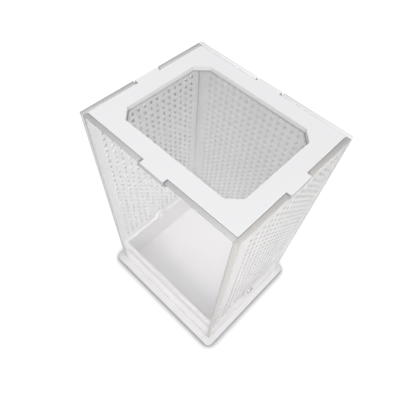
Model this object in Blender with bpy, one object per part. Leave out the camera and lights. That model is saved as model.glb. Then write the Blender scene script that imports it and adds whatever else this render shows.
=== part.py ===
"""Upright display box for a mantis: a clear cover that lifts off a white base with a shallow tray.

The cover is four upright sheets glued edge to edge. Three of them are drilled with rows of air holes and
the front one stays clear for the view. A white lid drops between their top edges, where four tabs rest in
notches, and carries a net under its window. The tray keeps the substrate in and centres the cover, and a
round catch on each side holds the two together.

Sizes are in metres, +Z is up, and the origin is the middle of the base's underside.
"""

import math

import bmesh
import bpy

# Gap left between two pieces that touch
GAP = 0.0003

# Base plate: it shows as a rim around the cover's foot
BASE_THICKNESS = 0.003
BASE_MARGIN_SIDE = 0.005
BASE_MARGIN_FRONT = 0.006
BASE_CORNER_RADIUS = 0.0045
BASE_CORNER_STEPS = 8

# Cover: outside sizes of the four upright panels
COVER_WIDTH = 0.120
COVER_DEPTH = 0.100
COVER_HEIGHT = 0.185
PANEL_THICKNESS = 0.003

# Tray: four walls on the base, just inside the cover. Its side walls rise into a round ear
TRAY_CLEARANCE = 0.0005
TRAY_THICKNESS = 0.003
TRAY_HEIGHT = 0.032
EAR_RADIUS = 0.006
EAR_STEPS = 28

# Catch: a round piece in each ear, and its fellow in the side panel in front of it
CATCH_DIAMETER = 0.006
CATCH_BELOW_RIM = 0.0005
CATCH_PROUD = 0.001
CATCH_EDGE = 0.00025
CATCH_SIDES = 24

# Lid: its octagonal window leaves a border all round, and a tab on each side rests in a panel's notch
LID_THICKNESS = 0.003
LID_BORDER = 0.015
WINDOW_CORNER = 0.0075
TAB_WIDTH = 0.018
TAB_CLEARANCE = 0.00125

# Net: it laps under the lid all round the window. It is drawn with coarse gaps
NET_LAP = 0.004
NET_THICKNESS = 0.0006
NET_PITCH = 0.0052
NET_STRAND = 0.0008

# Air holes, drawn at every second row and column of the drilled sheets
VENT_DIAMETER = 0.0023
VENT_PITCH = 0.0105
VENT_SIDES = 6
VENT_SIDE_MARGIN = 0.0115
VENT_BACK_MARGIN = 0.01025
VENT_TOP_MARGIN = 0.0095
VENT_ABOVE_EAR = 0.002

# How far a cutter runs past each face of a sheet
CUT_OVERRUN = 0.001

# Places that follow from the sizes above
COVER_FOOT = BASE_THICKNESS + GAP
TRAY_REACH_SIDE = COVER_WIDTH / 2 - PANEL_THICKNESS - TRAY_CLEARANCE
TRAY_REACH_FRONT = COVER_DEPTH / 2 - PANEL_THICKNESS - TRAY_CLEARANCE
CATCH_HEIGHT = TRAY_HEIGHT - CATCH_BELOW_RIM
CATCH_HOLE_RADIUS = CATCH_DIAMETER / 2 + GAP
LID_WIDTH = COVER_WIDTH - 2 * (PANEL_THICKNESS + GAP)
LID_DEPTH = COVER_DEPTH - 2 * (PANEL_THICKNESS + GAP)
WINDOW_WIDTH = COVER_WIDTH - 2 * LID_BORDER
WINDOW_DEPTH = COVER_DEPTH - 2 * LID_BORDER

# The way each upright piece faces, as its turn about +Z from the front
FRONT = 0
RIGHT = 90
BACK = 180
LEFT = 270

WHITE = {"Base Color": (0.86, 0.87, 0.89, 1.0), "Roughness": 0.3, "Metallic": 0.0}
CLEAR = {
    "Base Color": (0.96, 0.98, 0.98, 1.0),
    "Roughness": 0.04,
    "Metallic": 0.0,
    "Transmission Weight": 1.0,
    "IOR": 1.49,
}
WOVEN = {"Base Color": (0.80, 0.81, 0.83, 1.0), "Roughness": 0.6, "Metallic": 0.0}
PLATED = {"Base Color": (0.72, 0.72, 0.73, 1.0), "Roughness": 0.22, "Metallic": 1.0}


def rectangle(width, height, centre=(0, 0)):
    """Corners of a rectangle around its centre."""
    x, y = centre
    return [
        (x - width / 2, y - height / 2),
        (x + width / 2, y - height / 2),
        (x + width / 2, y + height / 2),
        (x - width / 2, y + height / 2),
    ]


def round_hole(centre, radius, sides):
    """Corners of a polygon with as much area as the circle it stands for."""
    step = 2 * math.pi / sides
    corner = radius * math.sqrt(step / math.sin(step))
    x, y = centre
    return [
        (x + corner * math.cos(step * (k + 0.5)), y + corner * math.sin(step * (k + 0.5)))
        for k in range(sides)
    ]


def extrude_outline(bm, outline, low, high):
    """Fill an outline at one height and extrude it to another."""
    face = bm.faces.new([bm.verts.new((x, y, low)) for x, y in outline])
    grown = bmesh.ops.extrude_face_region(bm, geom=[face])["geom"]
    raised = [item for item in grown if isinstance(item, bmesh.types.BMVert)]
    bmesh.ops.translate(bm, verts=raised, vec=(0, 0, high - low))


def add_object(bm, name):
    """Close a bmesh into an object in the scene."""
    bmesh.ops.recalc_face_normals(bm, faces=bm.faces)
    mesh = bpy.data.meshes.new(name)
    bm.to_mesh(mesh)
    bm.free()
    piece = bpy.data.objects.new(name, mesh)
    bpy.context.collection.objects.link(piece)
    return piece


def paint(piece, look):
    """Give a piece its own Principled material."""
    material = bpy.data.materials.new(piece.name)
    material.use_nodes = True
    shader = material.node_tree.nodes["Principled BSDF"]
    for socket, value in look.items():
        shader.inputs[socket].default_value = value
    piece.data.materials.append(material)


def smooth(piece):
    """Shade the extruded sides of a piece smooth, and keep its flat faces and its corners as they are."""
    piece.data.shade_smooth()
    piece.data.set_sharp_from_angle(angle=math.radians(40))
    for face in piece.data.polygons:
        face.use_smooth = abs(face.normal.z) < 0.5


def cut_sheet(name, outline, thickness, look, holes):
    """A flat sheet on its own XY plane, with holes cut right through it."""
    bm = bmesh.new()
    extrude_outline(bm, outline, 0, thickness)
    piece = add_object(bm, name)
    paint(piece, look)
    if holes:
        bm = bmesh.new()
        for hole in holes:
            extrude_outline(bm, hole, -CUT_OVERRUN, thickness + CUT_OVERRUN)
        cutter = add_object(bm, name + "_cutter")
        cutter.parent = piece
        cutter.hide_render = True
        cutter.display_type = "WIRE"
        cut = piece.modifiers.new("Holes", "BOOLEAN")
        cut.operation = "DIFFERENCE"
        cut.solver = "EXACT"
        cut.object = cutter
    return piece


def stand_up(piece, turn, reach, height, parent=None):
    """Stand a flat piece upright, facing outward, with its inner face at a distance from the middle."""
    angle = math.radians(turn)
    piece.rotation_euler = (math.radians(90), 0, angle)
    piece.location = (reach * math.sin(angle), -reach * math.cos(angle), height)
    piece.parent = parent


def lay_flat(piece, height, parent=None):
    """Lay a flat piece over the middle, with its lower face at a height."""
    piece.location = (0, 0, height)
    piece.parent = parent


def add_frame(name, height, parent=None):
    """An empty on the box's upright axis, which carries the pieces that lift together."""
    frame = bpy.data.objects.new(name, None)
    frame.empty_display_size = COVER_WIDTH / 4
    frame.location = (0, 0, height)
    frame.parent = parent
    bpy.context.collection.objects.link(frame)
    return frame


def vent_holes(width, margin):
    """Air holes in even rows and columns across a panel, from just above the ear to below the lid."""
    low = TRAY_HEIGHT - CATCH_BELOW_RIM + EAR_RADIUS + VENT_ABOVE_EAR
    high = COVER_HEIGHT - VENT_TOP_MARGIN
    span = width - 2 * margin
    columns = round(span / VENT_PITCH) + 1
    rows = round((high - low) / VENT_PITCH) + 1
    holes = []
    for row in range(rows):
        y = high - (high - low) * row / (rows - 1)
        for column in range(columns):
            x = -span / 2 + span * column / (columns - 1)
            holes.append(round_hole((x, y), VENT_DIAMETER / 2, VENT_SIDES))
    return holes


def panel_outline(start, end):
    """A panel that stands on its lower edge, with a notch for the lid's tab over the box's middle."""
    notch = TAB_WIDTH + 2 * TAB_CLEARANCE
    floor = COVER_HEIGHT - LID_THICKNESS - GAP
    return [
        (start, 0),
        (end, 0),
        (end, COVER_HEIGHT),
        (notch / 2, COVER_HEIGHT),
        (notch / 2, floor),
        (-notch / 2, floor),
        (-notch / 2, COVER_HEIGHT),
        (start, COVER_HEIGHT),
    ]


def ear_wall_outline(length):
    """A tray wall whose rim rises into a round ear about the catch."""
    start = math.asin(CATCH_BELOW_RIM / EAR_RADIUS)
    sweep = math.pi - 2 * start
    ear = []
    for step in range(EAR_STEPS + 1):
        angle = start + sweep * step / EAR_STEPS
        ear.append((EAR_RADIUS * math.cos(angle), CATCH_HEIGHT + EAR_RADIUS * math.sin(angle)))
    foot = [(-length / 2, 0), (length / 2, 0), (length / 2, TRAY_HEIGHT)]
    return foot + ear + [(-length / 2, TRAY_HEIGHT)]


def lid_outline():
    """A rectangle between the panels, with a tab that reaches each panel's outer face."""
    half_x = LID_WIDTH / 2
    half_y = LID_DEPTH / 2
    tab = TAB_WIDTH / 2
    reach_x = COVER_WIDTH / 2
    reach_y = COVER_DEPTH / 2
    quarter = [(reach_x, tab), (half_x, tab), (half_x, half_y), (tab, half_y), (tab, reach_y)]
    upper = quarter + [(-x, y) for x, y in reversed(quarter)]
    return upper + [(-x, -y) for x, y in upper]


def window_outline():
    """The lid's window: a rectangle with its corners cut off."""
    x = WINDOW_WIDTH / 2
    y = WINDOW_DEPTH / 2
    cut = WINDOW_CORNER
    return [
        (x, -y + cut),
        (x, y - cut),
        (x - cut, y),
        (-x + cut, y),
        (-x, y - cut),
        (-x, -y + cut),
        (-x + cut, -y),
        (x - cut, -y),
    ]


def net_gaps(width, depth):
    """Square gaps between the net's strands."""
    across = round((width - NET_STRAND) / NET_PITCH)
    deep = round((depth - NET_STRAND) / NET_PITCH)
    step_x = (width - NET_STRAND) / across
    step_y = (depth - NET_STRAND) / deep
    gaps = []
    for row in range(deep):
        for column in range(across):
            centre = (step_x * (column + 0.5 - across / 2), step_y * (row + 0.5 - deep / 2))
            gaps.append(rectangle(step_x - NET_STRAND, step_y - NET_STRAND, centre))
    return gaps


def catch_piece(name, length):
    """A short plated cylinder with softened edges, standing on its own XY plane."""
    bm = bmesh.new()
    extrude_outline(bm, round_hole((0, 0), CATCH_DIAMETER / 2, CATCH_SIDES), 0, length)
    piece = add_object(bm, name)
    rim = piece.modifiers.new("Rims", "BEVEL")
    rim.width = CATCH_EDGE
    rim.segments = 1
    rim.limit_method = "ANGLE"
    rim.angle_limit = math.radians(60)
    paint(piece, PLATED)
    smooth(piece)
    return piece


for old in list(bpy.data.objects):
    bpy.data.objects.remove(old, do_unlink=True)

# Base plate with rounded corners
bm = bmesh.new()
base_outline = rectangle(COVER_WIDTH + 2 * BASE_MARGIN_SIDE, COVER_DEPTH + 2 * BASE_MARGIN_FRONT)
extrude_outline(bm, base_outline, 0, BASE_THICKNESS)
upright = [edge for edge in bm.edges if abs(edge.verts[0].co.z - edge.verts[1].co.z) > BASE_THICKNESS / 2]
bmesh.ops.bevel(
    bm,
    geom=upright,
    offset=BASE_CORNER_RADIUS,
    segments=BASE_CORNER_STEPS,
    profile=0.5,
    affect="EDGES",
)
base_plate = add_object(bm, "base_plate")
paint(base_plate, WHITE)
smooth(base_plate)

# Tray: the side walls run the full depth, and the front and back walls fit between them
side_length = 2 * TRAY_REACH_FRONT
front_length = 2 * (TRAY_REACH_SIDE - TRAY_THICKNESS - GAP)
for place, turn in (("front", FRONT), ("back", BACK)):
    wall_outline = rectangle(front_length, TRAY_HEIGHT, (0, TRAY_HEIGHT / 2))
    wall = cut_sheet("tray_wall_" + place, wall_outline, TRAY_THICKNESS, WHITE, [])
    stand_up(wall, turn, TRAY_REACH_FRONT - TRAY_THICKNESS, COVER_FOOT)

catch_hole = round_hole((0, CATCH_HEIGHT), CATCH_HOLE_RADIUS, CATCH_SIDES)
for place, turn in (("left", LEFT), ("right", RIGHT)):
    wall = cut_sheet("tray_wall_" + place, ear_wall_outline(side_length), TRAY_THICKNESS, WHITE, [catch_hole])
    smooth(wall)
    stand_up(wall, turn, TRAY_REACH_SIDE - TRAY_THICKNESS, COVER_FOOT)
    catch = catch_piece("tray_catch_" + place, TRAY_THICKNESS + CATCH_PROUD)
    stand_up(catch, turn, TRAY_REACH_SIDE - TRAY_THICKNESS - CATCH_PROUD, COVER_FOOT + CATCH_HEIGHT)

# Cover: the back panel runs the full width, the side panels stop against it, and the front panel fits between them
cover = add_frame("cover_frame", COVER_FOOT)
half_front = COVER_WIDTH / 2 - PANEL_THICKNESS - GAP
front_panel = cut_sheet("front_panel", panel_outline(-half_front, half_front), PANEL_THICKNESS, CLEAR, [])
stand_up(front_panel, FRONT, COVER_DEPTH / 2 - PANEL_THICKNESS, 0, cover)

back_outline = panel_outline(-COVER_WIDTH / 2, COVER_WIDTH / 2)
back_vents = vent_holes(COVER_WIDTH - 2 * PANEL_THICKNESS, VENT_BACK_MARGIN)
back_panel = cut_sheet("back_panel", back_outline, PANEL_THICKNESS, CLEAR, back_vents)
stand_up(back_panel, BACK, COVER_DEPTH / 2 - PANEL_THICKNESS, 0, cover)

side_front = COVER_DEPTH / 2
side_back = COVER_DEPTH / 2 - PANEL_THICKNESS - GAP
side_holes = vent_holes(COVER_DEPTH, VENT_SIDE_MARGIN) + [catch_hole]
for place, turn, start, end in (("left", LEFT, -side_back, side_front), ("right", RIGHT, -side_front, side_back)):
    panel = cut_sheet(place + "_panel", panel_outline(start, end), PANEL_THICKNESS, CLEAR, side_holes)
    stand_up(panel, turn, COVER_WIDTH / 2 - PANEL_THICKNESS, 0, cover)
    catch = catch_piece("cover_catch_" + place, PANEL_THICKNESS + CATCH_PROUD)
    stand_up(catch, turn, COVER_WIDTH / 2 - PANEL_THICKNESS, CATCH_HEIGHT, cover)

# Lid with its window, flush with the top of the cover, and the net glued under it
lid = add_frame("lid_frame", COVER_HEIGHT - LID_THICKNESS, cover)
top_plate = cut_sheet("top_plate", lid_outline(), LID_THICKNESS, WHITE, [window_outline()])
lay_flat(top_plate, 0, lid)

net_width = WINDOW_WIDTH + 2 * NET_LAP
net_depth = WINDOW_DEPTH + 2 * NET_LAP
net_outline = rectangle(net_width, net_depth)
net = cut_sheet("mesh_screen", net_outline, NET_THICKNESS, WOVEN, net_gaps(net_width, net_depth))
lay_flat(net, -GAP - NET_THICKNESS, lid)
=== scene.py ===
import math

import bmesh
import bpy
from mathutils import Matrix, Vector


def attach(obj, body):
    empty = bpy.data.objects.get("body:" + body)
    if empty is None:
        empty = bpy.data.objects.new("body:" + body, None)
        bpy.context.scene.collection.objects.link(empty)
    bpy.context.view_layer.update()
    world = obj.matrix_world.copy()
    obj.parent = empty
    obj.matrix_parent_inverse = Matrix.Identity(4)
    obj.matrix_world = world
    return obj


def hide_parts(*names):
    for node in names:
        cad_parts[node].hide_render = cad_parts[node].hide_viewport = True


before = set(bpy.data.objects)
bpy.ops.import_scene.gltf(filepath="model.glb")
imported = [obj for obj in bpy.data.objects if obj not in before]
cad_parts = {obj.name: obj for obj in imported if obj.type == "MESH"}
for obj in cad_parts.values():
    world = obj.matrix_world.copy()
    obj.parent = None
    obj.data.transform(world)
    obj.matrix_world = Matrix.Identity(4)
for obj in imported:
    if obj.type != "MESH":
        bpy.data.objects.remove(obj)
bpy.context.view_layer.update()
scene = bpy.context.scene
scene.view_settings.view_transform = "Standard"


# CAMERA
# It looks steeply down on the front right corner of the box from about 36 cm, turned a little about its own
# axis. The photograph is cropped off its centre, which the lens shift follows.
CAMERA_PLACE = (0.0931, -0.1199, 0.3283)
CAMERA_TO_RIGHT = 40.01
CAMERA_DOWN = 61.23
CAMERA_ROLL = 4.94
CAMERA_LENS = 31.12
CAMERA_SENSOR = 36.0
CAMERA_SHIFT = (0.0090, 0.0971)
CAMERA_NEAREST = 0.01

camera_data = bpy.data.cameras.new("camera")
camera_data.sensor_width = CAMERA_SENSOR
camera_data.lens = CAMERA_LENS
camera_data.shift_x, camera_data.shift_y = CAMERA_SHIFT
camera_data.clip_start = CAMERA_NEAREST
camera = bpy.data.objects.new("camera", camera_data)
scene.collection.objects.link(camera)
camera_turn = Matrix.Rotation(math.radians(CAMERA_TO_RIGHT), 4, "Z")
camera_tilt = Matrix.Rotation(math.radians(90 - CAMERA_DOWN), 4, "X")
camera_roll = Matrix.Rotation(math.radians(CAMERA_ROLL), 4, "Z")
camera.matrix_world = Matrix.Translation(CAMERA_PLACE) @ camera_turn @ camera_tilt @ camera_roll
scene.camera = camera


# FLOOR, BACKDROP AND LAMPS
# A white table that runs out to a white surround. The light is a large soft lamp high over the front, a little to
# the right, and a glow from all round that is stronger from the right.
TABLE_SIZE = 6.0
TABLE_COLOUR = (0.30, 0.30, 0.30, 1.0)
TABLE_ROUGHNESS = 0.75
TABLE_GRAIN = 0.1
TABLE_SPECULAR = 0.2

# The table shines a little by itself, and more so to the camera, which shows it white. This light falls off where
# something stands close over it, which leaves the soft shadow round the foot of the box.
TABLE_SHINE = 0.40
TABLE_SHINE_SEEN = 0.48
TABLE_SHINE_THROUGH = 0.04
CONTACT_REACH = 0.012
CONTACT_FALL = 4.6

# The surround is white to the camera, and greyer through clear sheet and in reflections, where it also falls off
# low down at the back and rises low down at the front.
SURROUND_COLOUR = (0.985, 0.99, 1.0, 1.0)
SURROUND_THROUGH = 0.76
SURROUND_LOW_FALL = 3.0
SURROUND_LOW_BACK = 0.26
GLOW_STRENGTH = 0.375
GLOW_FROM_RIGHT = 1.32

LAMP_PLACE = Vector((0.38, -1.31, 1.27))
LAMP_SIZE = 0.86
LAMP_WATTS = 16.0
LAMP_COLOUR = (1.0, 0.985, 0.97)


class Shade:
    """A socket of a material or the world. Sums with it add Math nodes, and node() adds any other node."""

    def __init__(self, tree, socket=None):
        self.tree = tree
        self.socket = socket

    def node(self, kind, settings=None, values=None, output=0):
        """Add a node: its settings come first, then the values or links of its sockets."""
        made = self.tree.nodes.new(kind)
        for name, value in (settings or {}).items():
            setattr(made, name, value)
        for name, value in (values or {}).items():
            if isinstance(value, Shade):
                self.tree.links.new(value.socket, made.inputs[name])
            else:
                made.inputs[name].default_value = value
        return Shade(self.tree, made.outputs[output])

    def maths(self, operation, left, right):
        return self.node("ShaderNodeMath", {"operation": operation}, {0: left, 1: right})

    def __add__(self, other):
        return self.maths("ADD", self, other)

    def __radd__(self, other):
        return self.maths("ADD", other, self)

    def __sub__(self, other):
        return self.maths("SUBTRACT", self, other)

    def __rsub__(self, other):
        return self.maths("SUBTRACT", other, self)

    def __mul__(self, other):
        return self.maths("MULTIPLY", self, other)

    def __rmul__(self, other):
        return self.maths("MULTIPLY", other, self)


def start_finish(name, world=False):
    """An empty node tree for a material or the world, with its output node."""
    owner = bpy.data.worlds.new(name) if world else bpy.data.materials.new(name)
    owner.use_nodes = True
    tree = owner.node_tree
    tree.nodes.clear()
    output = tree.nodes.new("ShaderNodeOutputWorld" if world else "ShaderNodeOutputMaterial")
    return owner, Shade(tree), output


def end_finish(shade, output):
    """Join the finished shader to its output node."""
    shade.tree.links.new(shade.socket, output.inputs["Surface"])


bm = bmesh.new()
bmesh.ops.create_grid(bm, x_segments=1, y_segments=1, size=TABLE_SIZE / 2)
table_mesh = bpy.data.meshes.new("table")
bm.to_mesh(table_mesh)
bm.free()
table = bpy.data.objects.new("table", table_mesh)
scene.collection.objects.link(table)

table_paint, shade, output = start_finish("table_paint")
to_camera = shade.node("ShaderNodeLightPath", output="Is Camera Ray")
mirrored = shade.node("ShaderNodeLightPath", output="Is Glossy Ray")
through = shade.node("ShaderNodeLightPath", output="Is Transmission Ray")
place = shade.node("ShaderNodeTexCoord", output="Object")
grain = shade.node("ShaderNodeTexNoise", None, {"Vector": place, "Scale": 6.0, "Detail": 2.0})
uncovered = shade.node("ShaderNodeAmbientOcclusion", {"samples": 16}, {"Distance": CONTACT_REACH}, output=1)
uncovered = shade.maths("POWER", uncovered, CONTACT_FALL)
bent = mirrored + through
shine = TABLE_SHINE + to_camera * TABLE_SHINE_SEEN + bent * TABLE_SHINE_THROUGH
paint = shade.node(
    "ShaderNodeBsdfPrincipled",
    None,
    {
        "Base Color": TABLE_COLOUR,
        "Roughness": TABLE_ROUGHNESS + grain * TABLE_GRAIN,
        "Specular IOR Level": TABLE_SPECULAR,
        "Emission Color": uncovered * shine,
        "Emission Strength": 1.0,
    },
)
end_finish(paint, output)
table.data.materials.append(table_paint)

surround, shade, output = start_finish("surround", world=True)
to_camera = shade.node("ShaderNodeLightPath", output="Is Camera Ray")
mirrored = shade.node("ShaderNodeLightPath", output="Is Glossy Ray")
through = shade.node("ShaderNodeLightPath", output="Is Transmission Ray")
way = shade.node("ShaderNodeTexCoord", output="Generated")
right = shade.node("ShaderNodeSeparateXYZ", None, {"Vector": way})
back = shade.node("ShaderNodeSeparateXYZ", None, {"Vector": way}, output=1)
up = shade.node("ShaderNodeSeparateXYZ", None, {"Vector": way}, output=2)
low = shade.maths("MAXIMUM", 1.0 - up * SURROUND_LOW_FALL, 0.0)
white_through = SURROUND_THROUGH - back * low * SURROUND_LOW_BACK
bent = mirrored + through
glow = GLOW_STRENGTH + shade.maths("MAXIMUM", right, 0.0) * GLOW_FROM_RIGHT
strength = to_camera + bent * white_through + (1.0 - to_camera - bent) * glow
end_finish(shade.node("ShaderNodeBackground", None, {"Color": SURROUND_COLOUR, "Strength": strength}), output)
scene.world = surround

lamp_data = bpy.data.lights.new("softbox", "AREA")
lamp_data.shape = "DISK"
lamp_data.size = LAMP_SIZE
lamp_data.energy = LAMP_WATTS
lamp_data.color = LAMP_COLOUR
lamp = bpy.data.objects.new("softbox", lamp_data)
lamp.location = LAMP_PLACE
lamp.rotation_euler = LAMP_PLACE.to_track_quat("Z", "Y").to_euler()
scene.collection.objects.link(lamp)


# BASE SHEET
# A plate of milk white cast acrylic, cut with rounded corners and softened along its edges. The box stands on it,
# and it shows as a rim of a few millimetres all round.
BASE_SIZE = (0.130, 0.112)
BASE_THICKNESS = 0.003
BASE_CORNER = 0.0045
BASE_CORNER_STEPS = 8
BASE_EDGE = 0.0004
BASE_WHITE = (0.785, 0.770, 0.795)
BASE_ROUGHNESS = 0.38

ACRYLIC_IOR = 1.49
CLOUD_DARK = 0.985
CLOUD_LIGHT = 1.012
CLOUD_WHITEST = 0.97
WIPE_TURN = (0.2, 0.1, 0.6)
WIPE_SCALE = (40.0, 900.0, 300.0)
WIPE_DULLING = 0.14
CORNER_ANGLE = math.radians(60)
SMOOTH_ANGLE = math.radians(35)
UPRIGHT_BELOW = 0.5
LEVEL_FROM = 0.999
EDGE_FINISH = 1
HOLE_FINISH = 2


def draw_loop(bm, outline):
    """Draw a closed outline as edges on the XY plane."""
    corners = [bm.verts.new((x, y, 0.0)) for x, y in outline]
    return [bm.edges.new((a, b)) for a, b in zip(corners, corners[1:] + corners[:1])]


def flat_spot(corner):
    """Where a corner lies over the XY plane, to the nearest micrometre."""
    return round(corner.co.x, 6), round(corner.co.y, 6)


def cut_sheet(outline, holes, thickness, soften):
    """A flat sheet cut to an outline with holes through it, its outer edges softened.

    Its broad faces take the first material, its outer edge the second and the walls of its holes the third.
    """
    bm = bmesh.new()
    rim = draw_loop(bm, outline)
    drawn = list(rim)
    for hole in holes:
        drawn += draw_loop(bm, hole)
    on_rim = {flat_spot(corner) for edge in rim for corner in edge.verts}
    bmesh.ops.triangle_fill(bm, use_beauty=True, use_dissolve=False, edges=drawn)
    grown = bmesh.ops.extrude_face_region(bm, geom=bm.faces[:])["geom"]
    raised = [item for item in grown if isinstance(item, bmesh.types.BMVert)]
    bmesh.ops.translate(bm, verts=raised, vec=(0.0, 0.0, thickness))
    bmesh.ops.recalc_face_normals(bm, faces=bm.faces[:])
    bm.normal_update()
    for face in bm.faces:
        if abs(face.normal.z) < UPRIGHT_BELOW:
            outer = all(flat_spot(corner) in on_rim for corner in face.verts)
            face.material_index = EDGE_FINISH if outer else HOLE_FINISH
    lines = [
        edge
        for edge in bm.edges
        if any(face.material_index == EDGE_FINISH for face in edge.link_faces)
        and edge.calc_face_angle() > CORNER_ANGLE
    ]
    bmesh.ops.bevel(
        bm, geom=lines, offset=soften, segments=2, profile=0.5, affect="EDGES", material=-1, clamp_overlap=True
    )
    return bm


def finish_piece(bm, name, materials, place=None):
    """Put a finished mesh in its place. Its broad faces stay flat, and the rest is smooth between sharp edges."""
    bm.normal_update()
    rounded = [abs(face.normal.z) < LEVEL_FROM for face in bm.faces]
    if place is not None:
        bmesh.ops.transform(bm, matrix=place, verts=bm.verts[:])
    mesh = bpy.data.meshes.new(name)
    bm.to_mesh(mesh)
    bm.free()
    for material in materials:
        mesh.materials.append(material)
    mesh.set_sharp_from_angle(angle=SMOOTH_ANGLE)
    mesh.polygons.foreach_set("use_smooth", rounded)
    piece = bpy.data.objects.new(name, mesh)
    scene.collection.objects.link(piece)
    return piece


def milk_acrylic(name, colour, roughness):
    """Milk white acrylic: a soft gloss with faint clouds, and fine wipe marks in its polish."""
    material, shade, output = start_finish(name)
    place = shade.node("ShaderNodeTexCoord", output="Object")
    clouds = shade.node("ShaderNodeTexNoise", None, {"Vector": place, "Scale": 35.0, "Detail": 3.0})
    dark = [c * CLOUD_DARK for c in colour] + [1.0]
    light = [min(c * CLOUD_LIGHT, CLOUD_WHITEST) for c in colour] + [1.0]
    tone = shade.node("ShaderNodeMix", {"data_type": "RGBA"}, {"Factor": clouds, "A": dark, "B": light}, output=2)
    along = shade.node("ShaderNodeMapping", None, {"Vector": place, "Rotation": WIPE_TURN, "Scale": WIPE_SCALE})
    wipes = shade.node("ShaderNodeTexNoise", None, {"Vector": along, "Scale": 1.0, "Detail": 2.0})
    grain = shade.node("ShaderNodeTexNoise", None, {"Vector": place, "Scale": 1800.0, "Detail": 2.0})
    bump = shade.node("ShaderNodeBump", None, {"Strength": 0.06, "Distance": 0.00002, "Height": grain})
    acrylic = shade.node(
        "ShaderNodeBsdfPrincipled",
        None,
        {
            "Base Color": tone,
            "Roughness": roughness + wipes * WIPE_DULLING,
            "IOR": ACRYLIC_IOR,
            "Normal": bump,
        },
    )
    end_finish(acrylic, output)
    return material


base_outline = []
for side_x, side_y, start in ((1, 1, 0), (-1, 1, 90), (-1, -1, 180), (1, -1, 270)):
    for step in range(BASE_CORNER_STEPS + 1):
        angle = math.radians(start + 90 * step / BASE_CORNER_STEPS)
        base_outline.append(
            (
                side_x * (BASE_SIZE[0] / 2 - BASE_CORNER) + BASE_CORNER * math.cos(angle),
                side_y * (BASE_SIZE[1] / 2 - BASE_CORNER) + BASE_CORNER * math.sin(angle),
            )
        )
base_white = milk_acrylic("base_white", BASE_WHITE, BASE_ROUGHNESS)
bm = cut_sheet(base_outline, [], BASE_THICKNESS, BASE_EDGE)
base_sheet = finish_piece(bm, "base_sheet", [base_white])
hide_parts("base_plate")
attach(base_sheet, "base")


# TRAY
# Four strips of the same white acrylic, glued upright on the base just inside the cover, hold the substrate. The
# left and right strips rise into a round ear with a hole for the catch. The gap stands for each glued or resting seat.
GAP = 0.0003
COVER_FOOT = BASE_THICKNESS + GAP
TRAY_HEIGHT = 0.032
TRAY_THICKNESS = 0.003
TRAY_REACH_X = 0.0565
TRAY_REACH_Y = 0.0465
TRAY_EDGE = 0.00014
TRAY_WHITE = (0.785, 0.768, 0.772)
TRAY_ROUGHNESS = 0.42
EAR_RADIUS = 0.006
EAR_STEPS = 36
CATCH_RADIUS = 0.003
CATCH_BELOW_RIM = 0.0005
CATCH_HEIGHT = TRAY_HEIGHT - CATCH_BELOW_RIM
CATCH_HOLE_SIDES = 32


def rectangle(width, height, centre=(0.0, 0.0)):
    """Corners of a rectangle about its centre."""
    x, y = centre
    return [
        (x - width / 2, y - height / 2),
        (x + width / 2, y - height / 2),
        (x + width / 2, y + height / 2),
        (x - width / 2, y + height / 2),
    ]


def ring(centre, radius, sides):
    """Corners of a round outline."""
    x, y = centre
    turn = 2 * math.pi / sides
    return [(x + radius * math.cos(turn * k), y + radius * math.sin(turn * k)) for k in range(sides)]


def standing(turn, reach, height):
    """The place of an upright sheet: its inner face stands at a reach from the middle, facing outward."""
    angle = math.radians(turn)
    spot = Matrix.Translation((reach * math.sin(angle), -reach * math.cos(angle), height))
    return spot @ Matrix.Rotation(angle, 4, "Z") @ Matrix.Rotation(math.radians(90), 4, "X")


tray_white = milk_acrylic("tray_white", TRAY_WHITE, TRAY_ROUGHNESS)
tray_front_length = 2 * (TRAY_REACH_X - TRAY_THICKNESS - GAP)
plain_strip = rectangle(tray_front_length, TRAY_HEIGHT, (0.0, TRAY_HEIGHT / 2))
for side, turn in (("front", 0), ("back", 180)):
    bm = cut_sheet(plain_strip, [], TRAY_THICKNESS, TRAY_EDGE)
    place = standing(turn, TRAY_REACH_Y - TRAY_THICKNESS, COVER_FOOT)
    strip = finish_piece(bm, "tray_strip_" + side, [tray_white], place)
    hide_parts("tray_wall_" + side)
    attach(strip, "base")

catch_hole = ring((0.0, CATCH_HEIGHT), CATCH_RADIUS + GAP, CATCH_HOLE_SIDES)
ear_start = math.asin((TRAY_HEIGHT - CATCH_HEIGHT) / EAR_RADIUS)
ear_strip = [(-TRAY_REACH_Y, 0.0), (TRAY_REACH_Y, 0.0), (TRAY_REACH_Y, TRAY_HEIGHT)]
for step in range(EAR_STEPS + 1):
    angle = ear_start + (math.pi - 2 * ear_start) * step / EAR_STEPS
    ear_strip.append((EAR_RADIUS * math.cos(angle), CATCH_HEIGHT + EAR_RADIUS * math.sin(angle)))
ear_strip.append((-TRAY_REACH_Y, TRAY_HEIGHT))
for side, turn in (("left", 270), ("right", 90)):
    bm = cut_sheet(ear_strip, [catch_hole], TRAY_THICKNESS, TRAY_EDGE)
    place = standing(turn, TRAY_REACH_X - TRAY_THICKNESS, COVER_FOOT)
    strip = finish_piece(bm, "tray_strip_" + side, [tray_white], place)
    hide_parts("tray_wall_" + side)
    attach(strip, "base")


# CATCHES
# Small plated magnets pressed into round holes: one in each ear of the tray, and its fellow in the cover's side
# panel in front of it. They draw the cover down onto the base.
CATCH_PROUD = 0.001
CATCH_EDGE = 0.00035
CATCH_SIDES = 40
# One nickel plating in two tones: painted light for the magnets in the tray's ears, painted shade for the cover's.
NICKEL_PAINTED_LIGHT = (0.96, 0.95, 0.94, 1.0)
NICKEL_PAINTED_SHADE = (0.55, 0.54, 0.52, 1.0)
NICKEL_ROUGHNESS = 0.34
NICKEL_SPOTS = 0.18
COVER_WIDTH = 0.120
PANEL_THICKNESS = 0.003


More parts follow.
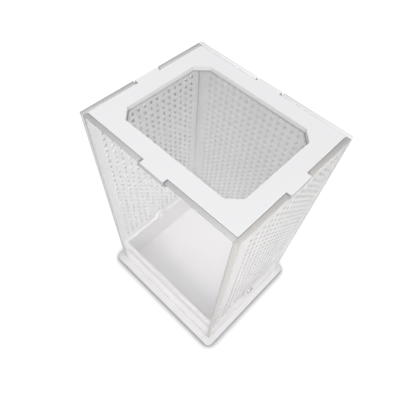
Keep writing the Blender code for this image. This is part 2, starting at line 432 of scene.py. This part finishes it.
def plated_metal(name, colour):
    """Nickel plate with faint turning marks and a few dull spots."""
    material, shade, output = start_finish(name)
    place = shade.node("ShaderNodeTexCoord", output="Object")
    spots = shade.node("ShaderNodeTexNoise", None, {"Vector": place, "Scale": 900.0, "Detail": 3.0})
    rub = shade.node("ShaderNodeTexNoise", None, {"Vector": place, "Scale": 4000.0, "Detail": 1.0})
    bump = shade.node("ShaderNodeBump", None, {"Strength": 0.1, "Distance": 0.00001, "Height": rub})
    metal = shade.node(
        "ShaderNodeBsdfPrincipled",
        None,
        {
            "Base Color": colour,
            "Metallic": 1.0,
            "Roughness": NICKEL_ROUGHNESS + spots * NICKEL_SPOTS,
            "Normal": bump,
        },
    )
    end_finish(metal, output)
    return material


# Lit and shaded copies of one nickel, as painted light and shade.
nickel_painted_lit = plated_metal("nickel_painted_lit", NICKEL_PAINTED_LIGHT)
nickel_painted_shaded = plated_metal("nickel_painted_shaded", NICKEL_PAINTED_SHADE)
ear_back = TRAY_REACH_X - TRAY_THICKNESS - CATCH_PROUD
panel_back = COVER_WIDTH / 2 - PANEL_THICKNESS
for side, turn in (("left", 270), ("right", 90)):
    for body, owner, nickel, reach, length in (
        ("base", "tray", nickel_painted_lit, ear_back, TRAY_THICKNESS + CATCH_PROUD),
        ("cover", "cover", nickel_painted_shaded, panel_back, PANEL_THICKNESS + CATCH_PROUD),
    ):
        bm = bmesh.new()
        bmesh.ops.create_cone(
            bm, cap_ends=True, segments=CATCH_SIDES, radius1=CATCH_RADIUS, radius2=CATCH_RADIUS, depth=length
        )
        bmesh.ops.translate(bm, verts=bm.verts[:], vec=(0.0, 0.0, length / 2))
        rims = [edge for edge in bm.edges if edge.calc_face_angle() > CORNER_ANGLE]
        bmesh.ops.bevel(
            bm, geom=rims, offset=CATCH_EDGE, segments=3, profile=0.5, affect="EDGES", material=-1
        )
        place = standing(turn, reach, COVER_FOOT + CATCH_HEIGHT)
        magnet = finish_piece(bm, f"{owner}_magnet_{side}", [nickel], place)
        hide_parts(f"{owner}_catch_{side}")
        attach(magnet, body)


# COVER PANELS
# Four sheets of clear acrylic glued edge to edge. The back one closes the ends of the side panels, which hold the
# front one between them. All but the front are drilled with a close grid of air holes, and every top edge is notched.
COVER_DEPTH = 0.100
COVER_HEIGHT = 0.185
COVER_TOP = COVER_FOOT + COVER_HEIGHT
PANEL_EDGE = 0.00015
GLUE_LINE = 0.00005
NOTCH_WIDTH = 0.0205
NOTCH_DEPTH = 0.0033
VENT_RADIUS = 0.00115
VENT_SIDES = 16
VENT_PITCH_ACROSS = 0.0055
VENT_PITCH_DOWN = 0.00525
VENT_TOP_MARGIN = 0.0095
VENT_FIRST_ROW = COVER_HEIGHT - VENT_TOP_MARGIN
VENT_ROWS = 27
VENT_COLUMNS_SIDE = 15
VENT_COLUMNS_BACK = 18

CLEAR_SHADOW = (0.97, 0.97, 0.97, 1.0)
CLEAR_HAZE = 0.03
DUST_PALE = 0.95
DUST_CLOUDS = 0.04
# Ramps along the depth and the height over which the dust film thins, as painted shade.
PAINTED_SHADE_BACK = (-0.03, 0.02)
PAINTED_SHADE_HEIGHT = (0.06, 0.11)
SAWN_TONE = 0.60
SAWN_MARKS = 0.12
# Depth of the top band that carries painted light and shade.
PAINTED_TOP_DEPTH = 0.0004


def clear_acrylic(name, film, tone=0.955, dust_blue=DUST_PALE, far_top_painted_shade=0.0, ghost=0.0):
    """Clear cast acrylic, a touch grey, under a thin pale film of dust. Lamps shine through it.

    The film thins high up towards the back by the amount given, a darker patch there that is painted shade.
    A ghost of 1 would make the acrylic vanish, which fades the air holes that the net hides.
    """
    material, shade, output = start_finish(name)
    place = shade.node("ShaderNodeTexCoord", output="Object")
    haze = shade.node("ShaderNodeTexNoise", None, {"Vector": place, "Scale": 28.0, "Detail": 4.0, "Roughness": 0.6})
    sheet = shade.node(
        "ShaderNodeBsdfPrincipled",
        None,
        {
            "Base Color": (tone, tone, tone, 1.0),
            "Roughness": haze * CLEAR_HAZE,
            "IOR": ACRYLIC_IOR,
            "Transmission Weight": 1.0,
        },
    )
    dust_tone = (DUST_PALE, (DUST_PALE + dust_blue) / 2, dust_blue, 1.0)
    dust = shade.node("ShaderNodeBsdfPrincipled", None, {"Base Color": dust_tone, "Roughness": 0.6})
    back = shade.node("ShaderNodeSeparateXYZ", None, {"Vector": place}, output=1)
    height = shade.node("ShaderNodeSeparateXYZ", None, {"Vector": place}, output=2)
    back = shade.node(
        "ShaderNodeMapRange", None, {"Value": back, "From Min": PAINTED_SHADE_BACK[0], "From Max": PAINTED_SHADE_BACK[1]}
    )
    height = shade.node(
        "ShaderNodeMapRange", None, {"Value": height, "From Min": PAINTED_SHADE_HEIGHT[0], "From Max": PAINTED_SHADE_HEIGHT[1]}
    )
    # Less film high up at the back is painted shade.
    dusty = film - back * height * far_top_painted_shade + (haze - 0.5) * DUST_CLOUDS
    sheet = shade.node("ShaderNodeMixShader", None, {0: dusty, 1: sheet, 2: dust})
    nothing = shade.node("ShaderNodeBsdfTransparent", None, {"Color": CLEAR_SHADOW})
    to_lamp = shade.node("ShaderNodeLightPath", output="Is Shadow Ray")
    gone = to_lamp * (1.0 - ghost) + ghost
    end_finish(shade.node("ShaderNodeMixShader", None, {0: gone, 1: sheet, 2: nothing}), output)
    return material


def sawn_edge(name, top_painted_light, drift, tint):
    """The cut edge of clear acrylic: dull, with fine cutting marks.

    Its top shows painted light and shade: a tone of its own, which drifts to the right and to the back, with a
    tint for red and blue.
    """
    material, shade, output = start_finish(name)
    place = shade.node("ShaderNodeTexCoord", output="Object")
    marks = shade.node("ShaderNodeTexNoise", None, {"Vector": place, "Scale": 700.0, "Detail": 3.0})
    right = shade.node("ShaderNodeSeparateXYZ", None, {"Vector": place})
    back = shade.node("ShaderNodeSeparateXYZ", None, {"Vector": place}, output=1)
    height = shade.node("ShaderNodeSeparateXYZ", None, {"Vector": place}, output=2)
    # Painted light and shade on the top band, in a tone that drifts across and along the panel.
    painted_top_mask = shade.maths("GREATER_THAN", height, COVER_TOP - PAINTED_TOP_DEPTH)
    top = top_painted_light + right * drift[0] + back * drift[1]
    grey = SAWN_TONE + painted_top_mask * (top - SAWN_TONE) + (marks - 0.5) * SAWN_MARKS
    tone = shade.node("ShaderNodeCombineColor", None, {"Red": grey * tint[0], "Green": grey, "Blue": grey * tint[1]})
    bump = shade.node("ShaderNodeBump", None, {"Strength": 0.25, "Distance": 0.00005, "Height": marks})
    edge = shade.node(
        "ShaderNodeBsdfPrincipled", None, {"Base Color": tone, "Roughness": 0.45, "IOR": ACRYLIC_IOR, "Normal": bump}
    )
    end_finish(edge, output)
    return material


def panel_outline(start, end):
    """A panel between two upright ends, with a notch over the middle of the box for the lid's tab."""
    notch = NOTCH_WIDTH / 2
    floor = COVER_HEIGHT - NOTCH_DEPTH
    return [
        (start, 0.0),
        (end, 0.0),
        (end, COVER_HEIGHT),
        (notch, COVER_HEIGHT),
        (notch, floor),
        (-notch, floor),
        (-notch, COVER_HEIGHT),
        (start, COVER_HEIGHT),
    ]


def vents(columns):
    """The grid of air holes of a drilled panel."""
    holes = []
    for row in range(VENT_ROWS):
        for column in range(columns):
            x = VENT_PITCH_ACROSS * (column - (columns - 1) / 2)
            holes.append(ring((x, VENT_FIRST_ROW - VENT_PITCH_DOWN * row), VENT_RADIUS, VENT_SIDES))
    return holes


# The walls of the air holes are a touch darker than the sheet. Each panel's top has painted light and shade in a
# tone of its own; the left one's runs from dark outside to light inside within its thickness, hence the steep drift.
left_clear = clear_acrylic("left_clear", film=0.08)
front_clear = clear_acrylic("front_clear", film=0.045, tone=0.93)
# The right pane's film thins at its far top, as painted shade.
right_clear = clear_acrylic("right_clear", film=0.32, dust_blue=0.92, far_top_painted_shade=0.28)
back_clear = clear_acrylic("back_clear", film=0.18, ghost=0.35)
side_bore = clear_acrylic("side_bore", film=0.05, tone=0.84, ghost=0.22)
back_bore = clear_acrylic("back_bore", film=0.05, tone=0.90, ghost=0.55)
front_edge = sawn_edge("front_edge", top_painted_light=0.56, drift=(1.1, 0.0), tint=(1.0, 1.0))
back_edge = sawn_edge("back_edge", top_painted_light=0.88, drift=(-0.6, 0.0), tint=(1.0, 1.01))
left_edge = sawn_edge("left_edge", top_painted_light=3.15, drift=(45.0, 0.0), tint=(1.0, 1.0))
right_edge = sawn_edge("right_edge", top_painted_light=0.53, drift=(0.0, -1.3), tint=(1.035, 0.97))
half_width = COVER_WIDTH / 2
half_depth = COVER_DEPTH / 2
front_end = half_width - PANEL_THICKNESS - GLUE_LINE
side_back = half_depth - PANEL_THICKNESS - GLUE_LINE
side_holes = vents(VENT_COLUMNS_SIDE) + [catch_hole]
for side, turn, start, end, reach, holes, finishes in (
    ("front", 0, -front_end, front_end, half_depth, [], [front_clear, front_edge]),
    ("back", 180, -half_width, half_width, half_depth, vents(VENT_COLUMNS_BACK), [back_clear, back_edge, back_bore]),
    ("left", 270, -side_back, half_depth, half_width, side_holes, [left_clear, left_edge, side_bore]),
    ("right", 90, -half_depth, side_back, half_width, side_holes, [right_clear, right_edge, side_bore]),
):
    bm = cut_sheet(panel_outline(start, end), holes, PANEL_THICKNESS, PANEL_EDGE)
    pane = finish_piece(bm, side + "_pane", finishes, standing(turn, reach - PANEL_THICKNESS, COVER_FOOT))
    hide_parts(side + "_panel")
    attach(pane, "cover")


# LID
# A white acrylic plate with an octagonal window. It drops flush between the panels, and a tab in the middle of
# each side rests in the notch of the panel there.
LID_THICKNESS = 0.003
LID_FOOT = COVER_TOP - LID_THICKNESS
LID_HALF = (0.0567, 0.0467)
LID_EDGE = 0.00025
LID_WHITE = (0.888, 0.889, 0.900)
LID_GLOSS_ROUGHNESS = 0.24
# The lid's cut edges and the walls of its window are grey copies of its white, as painted shade.
LID_SAWN_SHADE = (0.480, 0.490, 0.500)
LID_WINDOW_SHADE = (0.740, 0.740, 0.740)
LID_CUT_ROUGHNESS = 0.45
TAB_HALF = 0.009
WINDOW_HALF = (0.045, 0.035)
WINDOW_CORNER = 0.0075


def all_quarters(quarter):
    """A whole outline from its back right quarter, which is mirrored to the left, and both turned to the front."""
    back_half = quarter + [(-x, y) for x, y in reversed(quarter)]
    return back_half + [(-x, -y) for x, y in back_half]


lid_outline = all_quarters(
    [
        (half_width, TAB_HALF),
        (LID_HALF[0], TAB_HALF),
        (LID_HALF[0], LID_HALF[1]),
        (TAB_HALF, LID_HALF[1]),
        (TAB_HALF, half_depth),
    ]
)
window_outline = all_quarters(
    [(WINDOW_HALF[0], WINDOW_HALF[1] - WINDOW_CORNER), (WINDOW_HALF[0] - WINDOW_CORNER, WINDOW_HALF[1])]
)
lid_white = milk_acrylic("lid_white", LID_WHITE, LID_GLOSS_ROUGHNESS)
# Painted shade: grey copies of the lid's white for its cut edges and window walls.
lid_sawn_painted_shade = milk_acrylic("lid_sawn_painted_shade", LID_SAWN_SHADE, LID_CUT_ROUGHNESS)
lid_window_painted_shade = milk_acrylic("lid_window_painted_shade", LID_WINDOW_SHADE, LID_CUT_ROUGHNESS)
bm = cut_sheet(lid_outline, [window_outline], LID_THICKNESS, LID_EDGE)
place = Matrix.Translation((0.0, 0.0, LID_FOOT))
lid_sheet = finish_piece(bm, "lid_sheet", [lid_white, lid_sawn_painted_shade, lid_window_painted_shade], place)
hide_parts("top_plate")
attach(lid_sheet, "lid")


# NET
# A fine plain weave of round nylon threads covers the window and keeps small flies in. Each thread passes over and
# under those that cross it. A thin band of glue holds the net flat under the lid and shows round the window; its
# dark grey is painted shade, the shadow under the lid's edge.
NET_SIZE = (0.098, 0.078)
NET_PITCH = 0.0011
NET_THICKNESS = 0.0006
NET_MIDDLE = LID_FOOT - GAP - NET_THICKNESS / 2
THREAD_RADIUS = 0.0001
THREAD_RISE = 0.0001
THREAD_SIDES = 6
NYLON_DARK = (0.25, 0.25, 0.25, 1.0)
NYLON_LIGHT = (0.33, 0.33, 0.33, 1.0)
BAND_THICKNESS = 0.0003
BAND_WINDOW_SHARE = (0.99, 0.987)
BAND_EDGE = 0.00004
# The band's grey stands for the shade under the lid's edge: painted shade.
BAND_SHADE_GREY = (0.33, 0.33, 0.33)
BAND_ROUGHNESS = 0.5


def nylon(name):
    """Nylon thread, grey against the light, with a soft sheen."""
    material, shade, output = start_finish(name)
    place = shade.node("ShaderNodeTexCoord", output="Object")
    wear = shade.node("ShaderNodeTexNoise", None, {"Vector": place, "Scale": 260.0, "Detail": 2.0})
    tone = shade.node(
        "ShaderNodeMix", {"data_type": "RGBA"}, {"Factor": wear, "A": NYLON_DARK, "B": NYLON_LIGHT}, output=2
    )
    thread = shade.node(
        "ShaderNodeBsdfPrincipled", None, {"Base Color": tone, "Roughness": 0.5, "Sheen Weight": 0.1}
    )
    end_finish(thread, output)
    return material


def weave(length, width, first_side):
    """Threads along X, side by side along Y, each rising and falling by turns at every crossing.

    One thread of each kind, up first and down first, is drawn by extruding its tip, and copied to every second place.
    """
    crossings = round(length / NET_PITCH)
    threads = round(width / NET_PITCH)
    bm = bmesh.new()
    for kind in (0, 1):
        circle = bmesh.ops.create_circle(bm, segments=THREAD_SIDES, radius=THREAD_RADIUS, cap_ends=True)["verts"]
        rise = THREAD_RISE if (kind + first_side) % 2 else -THREAD_RISE
        start = Matrix.Translation((-length / 2, 0.0, rise)) @ Matrix.Rotation(math.radians(90), 4, "Y")
        bmesh.ops.transform(bm, matrix=start, verts=circle)
        tip = next(face for face in bm.faces if all(corner in circle for corner in face.verts))
        thread = list(circle)
        for crossing in range(crossings):
            grown = bmesh.ops.extrude_face_region(bm, geom=[tip])["geom"]
            if crossing:
                bmesh.ops.delete(bm, geom=[tip], context="FACES_ONLY")
            ends = [item for item in grown if isinstance(item, bmesh.types.BMVert)]
            tip = next(item for item in grown if isinstance(item, bmesh.types.BMFace))
            rise = -rise
            bmesh.ops.translate(bm, verts=ends, vec=(length / crossings, 0.0, 2 * rise))
            thread += ends
        corners = set(thread)
        faces = [face for face in bm.faces if face.verts[0] in corners]
        for row in range(kind + 2, threads, 2):
            made = bmesh.ops.duplicate(bm, geom=faces)["geom"]
            moved = [item for item in made if isinstance(item, bmesh.types.BMVert)]
            bmesh.ops.translate(bm, verts=moved, vec=(0.0, NET_PITCH * (row - (threads - 1) / 2), 0.0))
        bmesh.ops.translate(bm, verts=thread, vec=(0.0, NET_PITCH * (kind - (threads - 1) / 2), 0.0))
    bmesh.ops.recalc_face_normals(bm, faces=bm.faces[:])
    return bm


net_nylon = nylon("net_nylon")
for name, length, width, first_side, turn in (
    ("net_long_threads", NET_SIZE[0], NET_SIZE[1], 0, 0),
    ("net_cross_threads", NET_SIZE[1], NET_SIZE[0], 1, 90),
):
    bm = weave(length, width, first_side)
    place = Matrix.Translation((0.0, 0.0, NET_MIDDLE)) @ Matrix.Rotation(math.radians(turn), 4, "Z")
    threads = finish_piece(bm, name, [net_nylon], place)
    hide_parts("mesh_screen")
    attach(threads, "lid")

band_opening = [(x * BAND_WINDOW_SHARE[0], y * BAND_WINDOW_SHARE[1]) for x, y in window_outline]
# The band is glue, and its grey is painted shade.
band_painted_shade = milk_acrylic("band_painted_shade", BAND_SHADE_GREY, BAND_ROUGHNESS)
bm = cut_sheet(rectangle(*NET_SIZE), [band_opening], BAND_THICKNESS, BAND_EDGE)
place = Matrix.Translation((0.0, 0.0, LID_FOOT - BAND_THICKNESS))
band = finish_piece(bm, "net_glue_and_shade_band", [band_painted_shade], place)
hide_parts("mesh_screen")
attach(band, "lid")
